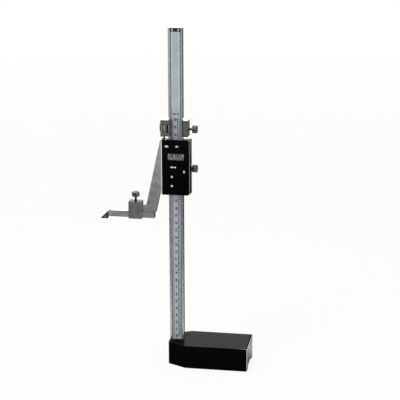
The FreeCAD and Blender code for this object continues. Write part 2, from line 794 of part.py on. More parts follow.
def make_electronics():
    board = new_body("circuit_board")
    margin = "(cover_wall + board_margin)"
    pad(board, "XZ_Plane", "-board_front", "-frame_front", [rectangle(
        f"-cover_left + {margin}", f"cover_right - {margin}",
        f"slider_bottom + {margin}", f"slider_top - {margin}")])
    pocket(board, "XZ_Plane", "-board_front", "-frame_front",
           circles=[(x, z, "boss_radius + board_boss_gap") for x, z in cover_screw_places()])
    group("key_switches", [
        rod(f"{name}_switch", "Y", "switch_radius", "-switch_top", "-board_front",
            f"{name}_across", f"slider_bottom + {name}_rise") for name in BUTTONS])
    keep(rod("cell", "Y", "cell_radius", "-cell_front", "-contact_front",
             "cell_x", "cell_z"), "battery_cell")
    keep(block("contact_under", "cell_x - contact_half_width", "cell_x + contact_half_width",
               "-contact_front", "-board_front", "cell_z - contact_half_width",
               "cell_z + contact_half_width"), "battery_contact_negative")
    keep(block("contact_side", "cell_x - cell_radius - contact_thickness",
               "cell_x - cell_radius", "-cell_front", "-board_front",
               "cell_z - contact_half_width", "cell_z + contact_half_width"),
         "battery_contact_positive")


def make_buttons():
    for name, (half_width, half_height) in BUTTONS.items():
        across = f"{name}_across"
        up = f"slider_bottom + {name}_rise"
        flange_front = "-(cover_inner - seat_gap)"
        flange_back = f"{flange_front} + button_flange_thickness"
        pieces = oblong(f"{name}_cap", half_width, half_height,
                        "-(cover_front + button_proud)", flange_back, across, up)
        pieces += oblong(f"{name}_flange", grown(half_width, "button_flange"),
                         grown(half_height, "button_flange"), flange_front, flange_back,
                         across, up)
        pieces.append(rod(f"{name}_stem", "Y", "button_stem_radius", flange_front,
                          "-(switch_top + button_travel + seat_gap)", across, up))
        keep(fuse(f"{name}_button", pieces), f"button_{name}")


def make_door():
    body = new_body("battery_door")
    step = "-(cover_front - door_face - seat_gap)"
    face_left = "door_left + door_gap"
    face_right = "door_right - door_gap"
    back_left = "door_left - door_tongue"
    back_right = "door_right + door_tongue"
    back = "-(cover_inner + seat_gap)"
    pad(body, "XY_Plane", "slider_bottom", "door_top - door_gap", [[
        (face_left, "-cover_front"), (face_right, "-cover_front"), (face_right, step),
        (back_right, step), (back_right, back), (back_left, back), (back_left, step),
        (face_left, step)]])


def make_scriber():
    heel = "-(tip_point - tip_heel)"
    front = "-scriber_thickness/2"
    back = "scriber_thickness/2"
    bar = new_body("scriber_bar")
    pad(bar, "XZ_Plane", front, back, [[
        ("-scriber_left", "scriber_bottom"), ("-scriber_right", "scriber_bottom"),
        ("-scriber_right", "scriber_top"), ("-nick_left", "scriber_top"),
        ("-scriber_left", "tip_top")]])
    tip = new_body("carbide_tip")
    pad(tip, "XZ_Plane", front, back, [[
        ("-tip_point", "tip_bottom"), (heel, "tip_bottom"),
        ("-scriber_left", "scriber_bottom"), ("-scriber_left", "tip_top")]])


def make_scriber_clamp():
    box = new_body("scriber_clamp")
    pad(box, "XZ_Plane", "-clamp_half", "clamp_half", [rectangle(
        "-clamp_left", "-clamp_right", "clamp_bottom", "clamp_top")])
    pocket(box, "YZ_Plane", "-clamp_left", "-clamp_right", [rectangle(
        "-(clamp_half - clamp_wall)", "clamp_half - clamp_wall",
        "clamp_bottom + clamp_floor", "clamp_hollow_top")])
    pocket(box, "XY_Plane", "clamp_hollow_top", "clamp_top",
           circles=[("-clamp_middle", "0", "thumb_screw_radius + thread_gap")])
    keep(rod("pad_disc", "Z", "pad_radius", "pad_bottom", "pad_top", "-clamp_middle", "0"),
         "scriber_clamp_pad")
    screw = new_body("scriber_clamp_screw")
    start = "pad_top + seat_gap"
    top = "clamp_knob_bottom + clamp_knob_height"
    revolve(screw, {"x": "-clamp_middle"}, "V_Axis", [
        ("0", start), ("thumb_screw_radius", start),
        ("thumb_screw_radius", "clamp_knob_bottom"),
        ("clamp_knob_radius - clamp_knob_chamfer", "clamp_knob_bottom"),
        ("clamp_knob_radius", "clamp_knob_bottom + clamp_knob_chamfer"),
        ("clamp_knob_radius", f"{top} - clamp_knob_chamfer"),
        ("clamp_knob_radius - clamp_knob_chamfer", top), ("0", top)])


def check_model():
    doc.recompute()
    for item in doc.Objects:
        if "Invalid" in item.State or "Error" in item.State:
            raise RuntimeError(f"{item.Label} failed: {item.State}")
    for piece in nodes:
        if piece.Shape.isNull() or not piece.Shape.isValid():
            raise RuntimeError(f"{piece.Label} has no valid shape")


def write_parts():
    for piece in nodes:
        piece.Shape.exportStep(f"parts/{piece.Label}.step")
        print(piece.Label, len(piece.Shape.Solids), round(piece.Shape.Volume, 1))


make_sheet()
make_base()
make_column()
make_column_trim()
make_carriage()
make_nut()
make_thumb_screw("carriage_clamp", "carriage_clamp_z", "way_half")
make_slider_frame()
make_slider_hardware()
make_cover()
make_display()
make_electronics()
make_buttons()
make_door()
make_thumb_screw("slider_clamp", "slider_clamp_z", "gib_outer + seat_gap")
make_scriber()
make_scriber_clamp()
check_model()
write_parts()
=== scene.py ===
import json
import math
import bmesh
import bpy
from mathutils import Matrix, Vector


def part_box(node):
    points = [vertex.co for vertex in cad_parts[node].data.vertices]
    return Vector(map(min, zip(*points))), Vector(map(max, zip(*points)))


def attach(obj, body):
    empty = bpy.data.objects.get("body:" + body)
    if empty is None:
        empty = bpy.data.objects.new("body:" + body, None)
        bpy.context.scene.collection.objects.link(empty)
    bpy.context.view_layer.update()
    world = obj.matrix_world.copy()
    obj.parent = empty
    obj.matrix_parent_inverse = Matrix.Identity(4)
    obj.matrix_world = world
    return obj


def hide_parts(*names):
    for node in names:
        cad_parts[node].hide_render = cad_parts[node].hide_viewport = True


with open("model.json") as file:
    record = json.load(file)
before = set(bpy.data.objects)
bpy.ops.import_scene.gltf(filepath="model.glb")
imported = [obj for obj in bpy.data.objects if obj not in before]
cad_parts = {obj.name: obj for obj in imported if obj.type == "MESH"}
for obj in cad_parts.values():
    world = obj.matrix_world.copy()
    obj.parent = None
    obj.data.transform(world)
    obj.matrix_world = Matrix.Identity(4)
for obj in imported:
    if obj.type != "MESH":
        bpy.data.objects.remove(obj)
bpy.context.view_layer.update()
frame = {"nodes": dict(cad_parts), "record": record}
mm = 0.001
record = frame["record"]
bodyOf = {node: body for body, nodes in record["behaviour"]["bodies"].items() for node in nodes}
print("frame loaded:", len(frame["nodes"]), "nodes")


# Shader building
class Wire:
    def __init__(self, shader, socket):
        self.shader = shader
        self.socket = socket

    def __add__(self, other):
        return self.shader.maths("ADD", self, other)

    def __sub__(self, other):
        return self.shader.maths("SUBTRACT", self, other)

    def __mul__(self, other):
        return self.shader.maths("MULTIPLY", self, other)

    def __rsub__(self, other):
        return self.shader.maths("SUBTRACT", other, self)

    __radd__ = __add__
    __rmul__ = __mul__


class Shader:
    def __init__(self, owner):
        owner.use_nodes = True
        self.owner = owner
        self.tree = owner.node_tree
        self.tree.nodes.clear()

    def node(self, kind, settings=None, inputs=None, output=0):
        made = self.tree.nodes.new(kind)
        for key, value in (settings or {}).items():
            if key == "ramp":
                stops = made.color_ramp.elements
                while len(stops) < len(value):
                    stops.new(1)
                for stop, (position, colour) in zip(stops, value):
                    stop.position = position
                    stop.color = colour
            else:
                setattr(made, key, value)
        for key, value in (inputs or {}).items():
            if isinstance(value, Wire):
                self.tree.links.new(value.socket, made.inputs[key])
            else:
                made.inputs[key].default_value = value
        return Wire(self, made.outputs[output]) if len(made.outputs) else made

    def maths(self, operation, first, second):
        return self.node("ShaderNodeMath", {"operation": operation}, {0: first, 1: second})

    def noise(self, size, stretch=(1, 1, 1), detail=3.0, roughness=0.55):
        where = self.node("ShaderNodeTexCoord", output=3)
        scale = [1 / (size * mm * s) for s in stretch]
        where = self.node("ShaderNodeMapping", None, {"Vector": where, "Scale": scale})
        return self.node("ShaderNodeTexNoise", None, {
            "Vector": where, "Scale": 1.0, "Detail": detail, "Roughness": roughness})

    def spread(self, value, low, high):
        return self.node("ShaderNodeMapRange", {"clamp": True}, {
            "Value": value, "From Min": low, "From Max": high})

    def blend(self, factor, first, second):
        return self.node("ShaderNodeMix", {"data_type": "RGBA"}, {
            0: factor, 6: (*first, 1), 7: (*second, 1)}, output=2)

    def bump(self, height, depth):
        return self.node("ShaderNodeBump", None, {
            "Height": height, "Distance": depth * mm, "Strength": 1.0})

    def place(self, axis, output=3):
        where = self.node("ShaderNodeTexCoord", output=output)
        return self.node("ShaderNodeSeparateXYZ", None, {0: where}, output="xyz".index(axis))

    def band(self, value, rise, fall):
        return self.spread(value, *rise) * (1 - self.spread(value, *fall))

    def finish(self, **sockets):
        inputs = {key.replace("_", " "): value for key, value in sockets.items()}
        surface = self.node("ShaderNodeBsdfPrincipled", None, inputs)
        self.node("ShaderNodeOutputMaterial", None, {"Surface": surface})
        return self.owner


# Finishes. Lengths are in millimetres and colours are linear. The edges of the base are worn
# bare, with a painted highlight in the pale bare colour, between "from" and "to", which are metres
# along it.
wearAndHighlightValues = {
    "from": 0.086, "to": 0.098, "bare": (0.55, 0.60, 0.61), "paint": (0.02, 0.022, 0.02),
    "chips": 1.6, "chipped": (0.30, 0.42), "metallic": 0.6, "roughness": 0.3, "swing": 0.15,
    "specular": 0.2,
}


def makeWearAndHighlight(name, values):
    shader = Shader(bpy.data.materials.new(name))
    chips = shader.noise(values["chips"], detail=4)
    bare = shader.spread(shader.place("x"), values["from"], values["to"])
    bare = bare * shader.spread(chips, *values["chipped"])
    return shader.finish(
        Base_Color=shader.blend(bare, values["paint"], values["bare"]),
        Metallic=bare * values["metallic"],
        Roughness=values["roughness"] + values["swing"] * chips,
        Specular_IOR_Level=values["specular"])


# "line" is the width of the grinding lines and "along" how far they are drawn out. A pair of
# heights in metres, at which a steel is darkest and at which it is palest, paints light and shade
# by height.
def makeMetal(name, values):
    shader = Shader(bpy.data.materials.new(name))
    lines = shader.noise(values["line"], values["along"], detail=2)
    clouds = shader.noise(values["cloud"], detail=3)
    speck = shader.noise(values["speck"], detail=1)
    tone = lines * values["lineShare"] + clouds * (1 - values["lineShare"])
    tone = shader.spread(tone, *values["contrast"])
    # Painted light and shade: the tone goes darker or paler with height.
    if "fade" in values:
        heightShaded = shader.spread(shader.place("z"), *values["fade"])
        tone = tone * (1 - values["fadeShare"]) + heightShaded * values["fadeShare"]
    spots = shader.spread(speck, *values["spotted"])
    return shader.finish(
        Base_Color=shader.blend(tone, values["dark"], values["pale"]),
        Metallic=values["metallic"],
        Roughness=values["roughness"] + values["swing"] * (tone + spots - values["evenAt"]),
        Normal=shader.bump(lines + speck * values["pits"], values["depth"]))


steelBase = {
    "line": 0.25, "along": (1, 1, 60), "cloud": 9, "speck": 0.5, "lineShare": 0.6,
    "dark": (0.42, 0.43, 0.42), "pale": (0.60, 0.61, 0.60), "metallic": 1.0,
    "roughness": 0.36, "swing": 0.10, "pits": 0.3, "depth": 0.004, "contrast": (0.38, 0.62),
    "spotted": (0.5, 0.8), "evenAt": 0.7, "fadeShare": 0.6,
}
metals = {
    "beamSteel": {"dark": (0.54, 0.54, 0.53), "pale": (0.70, 0.70, 0.68), "roughness": 0.29},
    # The beam's right side is a shaded copy of its steel: painted shade, paler towards the base as
    # painted light.
    "beamSide": {"dark": (0.08, 0.079, 0.074), "pale": (0.50, 0.50, 0.48), "roughness": 0.29,
                 "fade": (0.30, 0.06)},
    # The arm is paler at the top and darker at the foot, as painted light and shade.
    "armSteel": {"along": (25, 1, 25), "dark": (0.293, 0.30, 0.298), "pale": (0.69, 0.70, 0.695),
                 "roughness": 0.46, "fade": (0.205, 0.300)},
    # Pale steel for the carriage's right side, and a painted highlight on the scriber clamp's front
    # right chamfer.
    "sideSteelAndHighlight": {"along": (1, 1, 1), "dark": (0.46, 0.45, 0.45), "pale": (0.62, 0.60, 0.60),
                  "roughness": 0.46},
    "endSteel": {"along": (1, 1, 1), "line": 0.8, "dark": (0.22, 0.215, 0.205),
                 "pale": (0.38, 0.372, 0.355), "roughness": 0.5},
    # Pale steel for the rim and corner of the base's right end: wear and a painted highlight.
    "rimWearAndHighlight": {"along": (1, 1, 1), "dark": (0.56, 0.62, 0.64), "pale": (0.68, 0.74, 0.76),
                 "roughness": 0.4, "metallic": 0.2},
    "scriberSteel": {"along": (50, 1, 1), "dark": (0.48, 0.49, 0.48), "pale": (0.66, 0.66, 0.65)},
    "darkSteel": {"along": (1, 1, 1), "line": 1.2, "dark": (0.085, 0.09, 0.085), "cloud": 3,
                  "pale": (0.19, 0.198, 0.187), "roughness": 0.5, "swing": 0.15, "depth": 0.015,
                  "lineShare": 0.8, "metallic": 0.7},
    "clampSteel": {"along": (1, 1, 1), "line": 0.9, "dark": (0.19, 0.195, 0.19),
                   "pale": (0.30, 0.31, 0.30), "roughness": 0.5, "depth": 0.010},
    "knobSteel": {"along": (1, 1, 1), "line": 0.6, "dark": (0.10, 0.096, 0.085),
                  "pale": (0.22, 0.21, 0.19), "roughness": 0.36},
    # Black steel of the screws, and painted shade on the edges of the carriage and of the scriber's
    # clamp.
    "blackSteelAndEdgeShade": {"along": (1, 1, 1), "dark": (0.02, 0.02, 0.02), "pale": (0.05, 0.05, 0.05),
                   "roughness": 0.42},
    "brightSteel": {"along": (1, 1, 1), "dark": (0.62, 0.62, 0.61), "pale": (0.75, 0.75, 0.74),
                    "roughness": 0.28},
    "housing": {"along": (1, 1, 1), "dark": (0.50, 0.54, 0.55), "pale": (0.62, 0.66, 0.67),
                "roughness": 0.16, "swing": 0.05, "depth": 0.001},
    "groundSteel": {"along": (30, 1, 1), "dark": (0.66, 0.66, 0.65), "pale": (0.80, 0.80, 0.79),
                    "roughness": 0.16, "swing": 0.05, "depth": 0.001},
    "ridgeSteel": {"along": (1, 1, 1), "dark": (0.36, 0.355, 0.34), "pale": (0.55, 0.54, 0.52),
                   "roughness": 0.24},
    # A dark copy of steel: painted shade on edges, faces and strips.
    "paintedShadeSteel": {"along": (1, 1, 1), "dark": (0.05, 0.052, 0.05), "pale": (0.10, 0.104, 0.10),
                   "roughness": 0.45},
    # Near-black steel of the shanks, and painted shade in the grooves of the knurls and the nut.
    "shankSteelAndGrooveShade": {"along": (1, 1, 1), "dark": (0.03, 0.03, 0.03), "pale": (0.08, 0.08, 0.08),
                   "roughness": 0.35},
    "groundCarbide": {"along": (8, 1, 1), "dark": (0.26, 0.26, 0.26), "pale": (0.46, 0.46, 0.46),
                      "roughness": 0.32},
    "carbide": {"along": (8, 1, 1), "dark": (0.004, 0.004, 0.005), "pale": (0.014, 0.014, 0.015),
                "roughness": 0.34, "metallic": 0.6},
    "brass": {"dark": (0.52, 0.36, 0.13), "pale": (0.72, 0.53, 0.24), "roughness": 0.34},
}


# Paint, plastics, foil, inks, rubber, painted shade for the beam's groove and a painted highlight
# for the scale's edges
def makeCoating(name, values):
    shader = Shader(bpy.data.materials.new(name))
    grain = shader.noise(values["grain"], detail=values["detail"])
    rough = shader.spread(grain, *values["grains"])
    tone = shader.spread(shader.noise(values["cloud"]), *values["contrast"])
    return shader.finish(
        Base_Color=shader.blend(tone, values["dark"], values["pale"]),
        Roughness=values["roughness"] + values["swing"] * rough,
        Specular_IOR_Level=values["specular"],
        Normal=shader.bump(grain, values["depth"]))


coatingBase = {"detail": 2, "cloud": 10, "contrast": (0.35, 0.65), "grains": (0.3, 0.7),
               "swing": 0.06}
coatings = {
    "basePaint": {"dark": (0.0008, 0.001, 0.0008), "pale": (0.0016, 0.0019, 0.0016), "grain": 0.5,
                  "roughness": 0.12, "specular": 0.014, "depth": 0.0012, "detail": 4,
                  "cloud": 12},
    "coverPlastic": {"dark": (0.0008, 0.001, 0.0008), "pale": (0.0018, 0.0022, 0.0018),
                     "grain": 0.5, "roughness": 0.10, "specular": 0.06, "depth": 0.0006},
    "mattBlack": {"dark": (0.0008, 0.001, 0.0008), "pale": (0.002, 0.0022, 0.002), "grain": 0.4,
                  "roughness": 0.6, "specular": 0.0, "depth": 0.004},
    "keyPlastic": {"dark": (0.004, 0.004, 0.004), "pale": (0.007, 0.007, 0.007), "grain": 0.2,
                   "roughness": 0.30, "specular": 0.25, "depth": 0.003},
    "stopPlastic": {"dark": (0.006, 0.007, 0.006), "pale": (0.011, 0.012, 0.011), "grain": 0.3,
                    "roughness": 0.35, "specular": 0.3, "depth": 0.005},
    "scaleFoil": {"dark": (0.325, 0.37, 0.405), "pale": (0.375, 0.42, 0.46), "grain": 0.4,
                  "roughness": 0.42, "specular": 0.3, "depth": 0.002},
    "grooveShade": {"dark": (0.11, 0.115, 0.12), "pale": (0.17, 0.175, 0.18), "grain": 0.6,
                    "roughness": 0.6, "specular": 0.2, "depth": 0.002},
    "scaleInk": {"dark": (0.012, 0.014, 0.018), "pale": (0.02, 0.022, 0.028), "grain": 0.3,
                 "roughness": 0.5, "specular": 0.3, "depth": 0.001},
    # Pale lines as a painted highlight along the edges of the scale's bare top.
    "paleInk": {"dark": (0.50, 0.57, 0.61), "pale": (0.58, 0.65, 0.69), "grain": 0.3,
                "roughness": 0.5, "specular": 0.3, "depth": 0.001},
    "legendInk": {"dark": (0.70, 0.82, 0.87), "pale": (0.84, 0.91, 0.94), "grain": 0.3,
                  "roughness": 0.5, "specular": 0.3, "depth": 0.001},
    "lcdGlass": {"dark": (0.31, 0.28, 0.26), "pale": (0.38, 0.345, 0.32), "grain": 0.5,
                 "roughness": 0.4, "specular": 0.2, "depth": 0.001},
    "lcdInk": {"dark": (0.006, 0.006, 0.008), "pale": (0.012, 0.012, 0.014), "grain": 0.5,
               "roughness": 0.5, "specular": 0.05, "depth": 0.001},
    "boardLacquer": {"dark": (0.01, 0.09, 0.035), "pale": (0.02, 0.14, 0.06), "grain": 0.6,
                     "roughness": 0.3, "specular": 0.5, "depth": 0.01},
    "connectorRubber": {"dark": (0.10, 0.10, 0.11), "pale": (0.22, 0.22, 0.23), "grain": 0.2,
                        "roughness": 0.7, "specular": 0.3, "depth": 0.01},
}

lensValues = {"colour": (0.6, 0.62, 0.6, 1), "roughness": 0.06, "swing": 0.03, "cloud": 4,
              "alpha": 0.02, "specular": 0.1}


def makeLens(name, values):
    shader = Shader(bpy.data.materials.new(name))
    return shader.finish(
        Base_Color=values["colour"], Alpha=values["alpha"],
        Roughness=values["roughness"] + values["swing"] * shader.noise(values["cloud"]),
        Specular_IOR_Level=values["specular"])


finishes = {
    "wornEdgeAndHighlight": makeWearAndHighlight("wornEdgeAndHighlight", wearAndHighlightValues),
    "lensClear": makeLens("lensClear", lensValues),
}
for name, changes in metals.items():
    finishes[name] = makeMetal(name, {**steelBase, **changes})
for name, changes in coatings.items():
    finishes[name] = makeCoating(name, {**coatingBase, **changes})
print("finishes made:", len(finishes))


# Mesh building. "seam" is how near two points are one, on new pieces and on copies of CAD nodes.
# What lies within "flush" of a face lies in its plane. A face looks along an axis from "along"
# of it, is a side wall below "upright" of the up axis, and slants where the product of its two
# level parts is past "slanted".
seam = {"new": 0.00005 * mm, "copy": 0.002 * mm}
flush = 0.01 * mm
along, upright, slanted = 0.99, 0.3, 0.2


def newPiece(name, bm, finish, body, smoothAngle=35):
    bmesh.ops.remove_doubles(bm, verts=bm.verts[:], dist=seam["new"])
    bmesh.ops.recalc_face_normals(bm, faces=bm.faces[:])
    mesh = bpy.data.meshes.new(name)
    bm.to_mesh(mesh)
    bm.free()
    piece = bpy.data.objects.new(name, mesh)
    bpy.context.scene.collection.objects.link(piece)
    mesh.materials.append(finishes[finish])
    for polygon in mesh.polygons:
        polygon.use_smooth = True
    mesh.set_sharp_from_angle(angle=math.radians(smoothAngle))
    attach(piece, body)
    return piece


def standIn(node, bm, finish, smoothAngle=35):
    words = node.split("_")
    name = words[0] + "".join(word.capitalize() for word in words[1:])
    piece = newPiece(name, bm, finish, bodyOf[node], smoothAngle)
    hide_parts(node)
    return piece


def cleanCopy(node):
    bm = bmesh.new()
    bm.from_mesh(frame["nodes"][node].data)
    bmesh.ops.remove_doubles(bm, verts=bm.verts[:], dist=seam["copy"])
    bmesh.ops.dissolve_limit(bm, angle_limit=math.radians(0.5), verts=bm.verts[:],
                             edges=bm.edges[:])
    return bm


def cutAcross(bm, place, normal):
    bmesh.ops.bisect_plane(bm, geom=bm.verts[:] + bm.edges[:] + bm.faces[:], plane_co=place,
                           plane_no=normal)


def bevelPiece(piece, width, segments=3, angle=30):
    bevel = piece.modifiers.new("edges", "BEVEL")
    bevel.width = width * mm
    bevel.segments = segments
    bevel.limit_method = "ANGLE"
    bevel.angle_limit = math.radians(angle)
    bevel.harden_normals = True


# Every outside CAD piece gets a cleaned copy with eased edges. "edge" is the edge's width,
# "edgeFinish" its own finish, which is painted shade on the steel pieces that have one and wear
# with a painted highlight on the base, and "planes" the faces (axis, place, finish) with another
# finish, where the place is a length or the low or high end of the piece. "frontEdge" is the width
# of the chamfer on the upright front edge at the right, "frontCorner" the radius of the corners
# that it goes round, and "cornerFinish" what slanted upright faces get, right of "cornerFrom"; on
# the base that is wear with a painted highlight, on the scriber's clamp a painted highlight.
# "rim" is the width of a border round the right end, worn bare with a painted highlight, and
# "band" that of a strip on the top beside it. The upright strips of the front, from one x to
# another, are painted shadow beside the beam. "widen" moves the wall of the nut's window, from its
# place by that length, so that the beam shows past the nut.
dressed = {
    # The base's edges near its right end are worn bare with a painted highlight, and so are the rim
    # and the front corner of that end.
    "base": {"finish": "basePaint", "edge": 0.7, "edgeFinish": "wornEdgeAndHighlight", "rim": 2.0,
             "rimFinish": "rimWearAndHighlight", "band": 1.9, "bandFinish": "mattBlack",
             "frontEdge": 0.7, "cornerFinish": "rimWearAndHighlight", "cornerFrom": 90,
             "planes": [("x", "high", "endSteel")]},
    # The beam's groove floor is painted shade, and its right side the shaded copy of its steel.
    "column": {"finish": "beamSteel", "edge": 0.35,
               "planes": [("y", -3.0, "grooveShade"), ("x", "high", "beamSide")]},
    "scale_strip": {"finish": "scaleFoil", "edge": 0.08},
    "end_stop": {"finish": "stopPlastic", "edge": 0.3},
    "end_stop_screws": {"finish": "brightSteel", "edge": 0.1},
    "column_screws": {"finish": "blackSteelAndEdgeShade", "edge": 0.3},
    # The carriage's edges are painted shade, and the upright strips beside the beam painted shadow.
    "carriage_frame": {"finish": "darkSteel", "edge": 0.4, "edgeFinish": "blackSteelAndEdgeShade",
                       "widen": (-8.6, 1.1), "strips": [(-6.95, -6.4), (9.1, 11.0)],
                       "shadowStripFinish": "paintedShadeSteel",
                       "planes": [("z", "high", "groundSteel"), ("z", "low", "groundSteel"),
                                  ("x", "high", "sideSteelAndHighlight")]},
    # The frame's edges are painted shade.
    "slider_frame": {"finish": "armSteel", "edge": 0.3, "edgeFinish": "paintedShadeSteel",
                     "planes": [("y", "low", "brightSteel"), ("z", "high", "groundSteel")]},
    "slider_back_plate": {"finish": "darkSteel", "edge": 0.3},
    "back_plate_screws": {"finish": "brightSteel", "edge": 0.15},
    "cover_screws": {"finish": "blackSteelAndEdgeShade", "edge": 0.15},
    "gib_screws": {"finish": "blackSteelAndEdgeShade", "edge": 0.1},
    "fine_adjust_rod": {"finish": "knobSteel", "edge": 0.2},
    "front_cover": {"finish": "coverPlastic", "edge": 0.35, "frontEdge": 0.5, "frontCorner": 4.0,
                    "cornerFinish": "housing",
                    "planes": [("x", "low", "housing"), ("z", "high", "groundSteel")]},
    "lcd_lens": {"finish": "lensClear", "edge": 0.1},
    "battery_door": {"finish": "coverPlastic", "edge": 0.15},
    # The scriber bar's edges are painted shade.
    "scriber_bar": {"finish": "scriberSteel", "edge": 0.55, "edgeFinish": "paintedShadeSteel"},
    # The clamp's edges, top and right side are painted shade, and the chamfer on its front right
    # edge is a painted highlight.
    "scriber_clamp": {"finish": "clampSteel", "edge": 0.4, "edgeFinish": "blackSteelAndEdgeShade",
                      "frontEdge": 0.6, "cornerFinish": "sideSteelAndHighlight",
                      "planes": [("z", "high", "paintedShadeSteel"), ("x", "high", "paintedShadeSteel")]},
}
plain = {
    "lcd_panel": "lcdGlass", "lcd_connector_strips": "connectorRubber",
    "circuit_board": "boardLacquer", "key_switches": "brightSteel",
    "battery_cell": "brightSteel", "battery_contact_negative": "brass",
    "battery_contact_positive": "brass", "gib_strip": "brass", "carriage_clamp_shoe": "brass",
    "slider_clamp_shoe": "brass", "scriber_clamp_pad": "brass",
}
for key in ("unit", "zero", "power", "preset", "up", "down"):
    dressed["button_" + key] = {"finish": "keyPlastic", "edge": 0.25}


def chamferFront(bm, low, high, values):
    reach = high.x - values.get("frontCorner", 0) * mm - flush
    inFront = {vert for vert in bm.verts if vert.co.x > reach and vert.co.y - low.y < flush}
    corner = [edge for edge in bm.edges if inFront.issuperset(edge.verts)
              and abs(edge.verts[0].co.z - edge.verts[1].co.z) > flush]
    bmesh.ops.bevel(bm, geom=corner, offset=values["frontEdge"] * mm, affect="EDGES", segments=2,
                    profile=0.5, material=-1)


def moveWall(bm, wall, shift):
    bmesh.ops.translate(bm, vec=(shift * mm, 0, 0), verts=[
        vert for vert in bm.verts if abs(vert.co.x - wall * mm) < 2 * flush])


def markEnd(bm, high, values):
    right = [face for face in bm.faces if face.normal.x > along and
             high.x - face.calc_center_median().x < flush]
    # The border round the right end is worn bare with a painted highlight.
    border = bmesh.ops.inset_region(bm, faces=right, thickness=values["rim"] * mm)["faces"]
    for face in border:
        face.material_index = 1
    start = high.x - values["band"] * mm
    cutAcross(bm, (start, 0, 0), (1, 0, 0))
    for face in bm.faces:
        if face.normal.z > along and face.calc_center_median().x > start:
            face.material_index = 2


# Painted shadow: dark upright strips on the front face beside the beam.
def markShadowStrip(bm, low, left, right):
    for cut in (left, right):
        cutAcross(bm, (cut * mm, 0, 0), (1, 0, 0))
    for face in bm.faces:
        middle = face.calc_center_median()
        front = face.normal.y < -along and middle.y - low.y < flush
        if front and left < middle.x / mm < right:
            face.material_index = 1


def finishPlane(piece, axis, place, finish):
    slots = piece.data.materials
    slots.append(finishes[finish])
    index = "xyz".index(axis)
    for polygon in piece.data.polygons:
        flat = abs(polygon.normal[index]) > along
        if flat and abs(polygon.center[index] - place) < 10 * flush and polygon.material_index == 0:
            polygon.material_index = len(slots) - 1


def dressNode(node, values):
    bm = cleanCopy(node)
    low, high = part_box(node)
    if "frontEdge" in values:
        chamferFront(bm, low, high, values)
    if "widen" in values:
        moveWall(bm, *values["widen"])
    if "rim" in values:
        markEnd(bm, high, values)
    for left, right in values.get("strips", []):
        markShadowStrip(bm, low, left, right)
    piece = standIn(node, bm, values["finish"])
    slots = piece.data.materials
    for mark in ("rimFinish", "bandFinish", "shadowStripFinish"):
        if mark in values:
            slots.append(finishes[values[mark]])
    for axis, place, finish in values.get("planes", []):
        index = "xyz".index(axis)
        ends = {"low": low[index], "high": high[index]}
        finishPlane(piece, axis, ends[place] if place in ends else place * mm, finish)
    if "cornerFinish" in values:
        slots.append(finishes[values["cornerFinish"]])
        start = values["cornerFrom"] * mm if "cornerFrom" in values else low.x
        for polygon in piece.data.polygons:
            if abs(polygon.normal.x * polygon.normal.y) > slanted and polygon.center.x > start:
                polygon.material_index = len(slots) - 1
    bevelPiece(piece, values["edge"])
    if "edgeFinish" in values:
        slots.append(finishes[values["edgeFinish"]])
        piece.modifiers["edges"].material = len(slots) - 1


for node, nodeValues in dressed.items():
    dressNode(node, nodeValues)
for node, finish in plain.items():
    mesh = frame["nodes"][node].data
    mesh.materials.clear()
    mesh.materials.append(finishes[finish])
print("pieces dressed:", len(dressed))


# Knurled screws. "rows" and "teeth" are the diamonds along and round the grip, "keen" is how
# keen their ridges are, "collar" and "sink" the edge and depth of the hollow in its ends, and
# "overlap" how far the shank goes in.
# Knurl faces deeper than the given share of the ridge depth are painted shade, in the shank's
# finish.
knobValues = {
    "teeth": 22, "depth": 0.42, "rows": 8, "keen": 3, "chamfer": 0.6, "shadeBelow": 0.42,
    "shank": 1.5, "sides": 28, "collar": 0.9, "slope": 0.15, "sink": 0.25, "overlap": 0.2,
}
knobs = {
    "carriage_clamp_screw": {"axis": "x", "length": 6.7, "cap": "knobSteel"},
    "slider_clamp_screw": {"axis": "x", "length": 6.7, "cap": "knobSteel"},
    "scriber_clamp_screw": {"axis": "z", "length": 6.3, "cap": "shankSteelAndGrooveShade"},
}
turnOf = {"x": Matrix.Rotation(math.radians(90), 4, "Y"), "z": Matrix.Identity(4)}


def shapeKnurl(bm, radius, low, high, values):
    edge = values["chamfer"] * mm
    for vert in bm.verts:
        angle = math.atan2(vert.co.y, vert.co.x)
        height = vert.co.z
        inside = edge - flush < height - low < high - low - edge + flush
        turn = angle * values["teeth"] / math.tau
        step = (height - low) / (high - low) * values["rows"] * 0.5
        first = abs((turn + step) % 1 - 0.5) * 2
        second = abs((turn - step) % 1 - 0.5) * 2
        cut = values["depth"] * mm * max(first, second) ** values["keen"]
        size = radius - cut if inside else radius - edge
        vert.co.x = math.cos(angle) * size
        vert.co.y = math.sin(angle) * size


def hollowEnds(bm, count, values):
    ends = [face for face in bm.faces if len(face.verts) == count]
    for face in ends:
        bmesh.ops.inset_region(bm, faces=[face], thickness=values["collar"] * mm, depth=0)
        bmesh.ops.inset_region(bm, faces=[face], thickness=values["slope"] * mm,
                               depth=-values["sink"] * mm)
        face.material_index = 2


